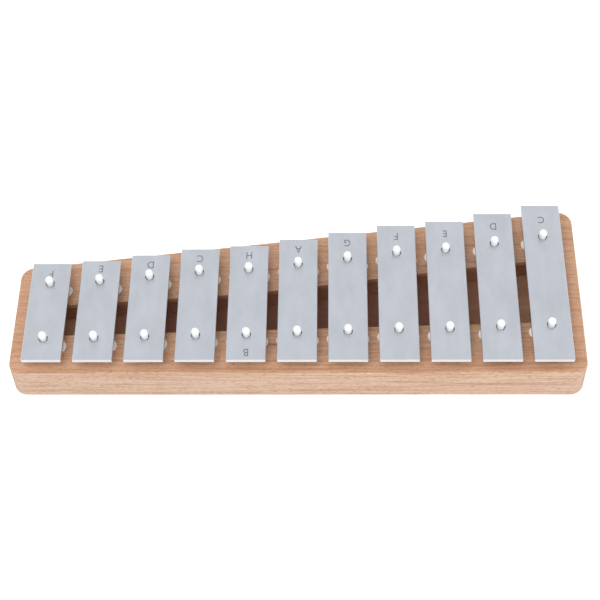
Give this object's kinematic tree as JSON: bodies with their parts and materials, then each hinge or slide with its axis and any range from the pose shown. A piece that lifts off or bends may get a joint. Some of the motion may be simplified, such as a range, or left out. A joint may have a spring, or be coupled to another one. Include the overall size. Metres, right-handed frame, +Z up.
{
  "type": "metallophone",
  "caption": "Diatonic soprano metallophone: steel tone bars resting on white rests and pins over a slotted beech sound box that tapers towards the high notes.",
  "frame": {"origin": "on the supporting surface, under the middle of the bounding box", "axes": "+X along the box towards the lowest note, +Y from the long straight side towards the slanted side, +Z up"},
  "size_m": [0.364, 0.1288, 0.0418],
  "materials": {
    "oiled_beech": "sanded and oiled, satin",
    "beech_plywood": "sanded, unvarnished",
    "satin_steel": "nickel plated, bead blasted",
    "white_nylon": "moulded, satin",
    "white_elastomer": "moulded, matt"
  },
  "bodies": {
    "sound_box_body": {"sound_box": "oiled_beech", "base_panel": "beech_plywood", "pin_01_front": "white_nylon", "pin_01_back": "white_nylon", "pin_02_front": "white_nylon", "pin_02_back": "white_nylon", "pin_03_front": "white_nylon", "pin_03_back": "white_nylon", "pin_04_front": "white_nylon", "pin_04_back": "white_nylon", "pin_05_front": "white_nylon", "pin_05_back": "white_nylon", "pin_06_front": "white_nylon", "pin_06_back": "white_nylon", "pin_07_front": "white_nylon", "pin_07_back": "white_nylon", "pin_08_front": "white_nylon", "pin_08_back": "white_nylon", "pin_09_front": "white_nylon", "pin_09_back": "white_nylon", "pin_10_front": "white_nylon", "pin_10_back": "white_nylon", "pin_11_front": "white_nylon", "pin_11_back": "white_nylon", "bar_rest_01_front": "white_elastomer", "bar_rest_01_back": "white_elastomer", "bar_rest_02_front": "white_elastomer", "bar_rest_02_back": "white_elastomer", "bar_rest_03_front": "white_elastomer", "bar_rest_03_back": "white_elastomer", "bar_rest_04_front": "white_elastomer", "bar_rest_04_back": "white_elastomer", "bar_rest_05_front": "white_elastomer", "bar_rest_05_back": "white_elastomer", "bar_rest_06_front": "white_elastomer", "bar_rest_06_back": "white_elastomer", "bar_rest_07_front": "white_elastomer", "bar_rest_07_back": "white_elastomer", "bar_rest_08_front": "white_elastomer", "bar_rest_08_back": "white_elastomer", "bar_rest_09_front": "white_elastomer", "bar_rest_09_back": "white_elastomer", "bar_rest_10_front": "white_elastomer", "bar_rest_10_back": "white_elastomer", "bar_rest_11_front": "white_elastomer", "bar_rest_11_back": "white_elastomer"},
    "bar_01_c": {"tone_bar_01_c": "satin_steel"},
    "bar_02_d": {"tone_bar_02_d": "satin_steel"},
    "bar_03_e": {"tone_bar_03_e": "satin_steel"},
    "bar_04_f": {"tone_bar_04_f": "satin_steel"},
    "bar_05_g": {"tone_bar_05_g": "satin_steel"},
    "bar_06_a": {"tone_bar_06_a": "satin_steel"},
    "bar_07_b": {"tone_bar_07_b": "satin_steel"},
    "bar_08_high_c": {"tone_bar_08_high_c": "satin_steel"},
    "bar_09_high_d": {"tone_bar_09_high_d": "satin_steel"},
    "bar_10_high_e": {"tone_bar_10_high_e": "satin_steel"},
    "bar_11_high_f": {"tone_bar_11_high_f": "satin_steel"}
  },
  "joints": [
    {"name": "lift_01_c", "type": "slide", "parent": "sound_box_body", "child": "bar_01_c", "axis": [0, 0, 1], "range_m": [0, 0.02]},
    {"name": "lift_02_d", "type": "slide", "parent": "sound_box_body", "child": "bar_02_d", "axis": [0, 0, 1], "range_m": [0, 0.02]},
    {"name": "lift_03_e", "type": "slide", "parent": "sound_box_body", "child": "bar_03_e", "axis": [0, 0, 1], "range_m": [0, 0.02]},
    {"name": "lift_04_f", "type": "slide", "parent": "sound_box_body", "child": "bar_04_f", "axis": [0, 0, 1], "range_m": [0, 0.02]},
    {"name": "lift_05_g", "type": "slide", "parent": "sound_box_body", "child": "bar_05_g", "axis": [0, 0, 1], "range_m": [0, 0.02]},
    {"name": "lift_06_a", "type": "slide", "parent": "sound_box_body", "child": "bar_06_a", "axis": [0, 0, 1], "range_m": [0, 0.02]},
    {"name": "lift_07_b", "type": "slide", "parent": "sound_box_body", "child": "bar_07_b", "axis": [0, 0, 1], "range_m": [0, 0.02]},
    {"name": "lift_08_high_c", "type": "slide", "parent": "sound_box_body", "child": "bar_08_high_c", "axis": [0, 0, 1], "range_m": [0, 0.02]},
    {"name": "lift_09_high_d", "type": "slide", "parent": "sound_box_body", "child": "bar_09_high_d", "axis": [0, 0, 1], "range_m": [0, 0.02]},
    {"name": "lift_10_high_e", "type": "slide", "parent": "sound_box_body", "child": "bar_10_high_e", "axis": [0, 0, 1], "range_m": [0, 0.02]},
    {"name": "lift_11_high_f", "type": "slide", "parent": "sound_box_body", "child": "bar_11_high_f", "axis": [0, 0, 1], "range_m": [0, 0.02]}
  ]
}
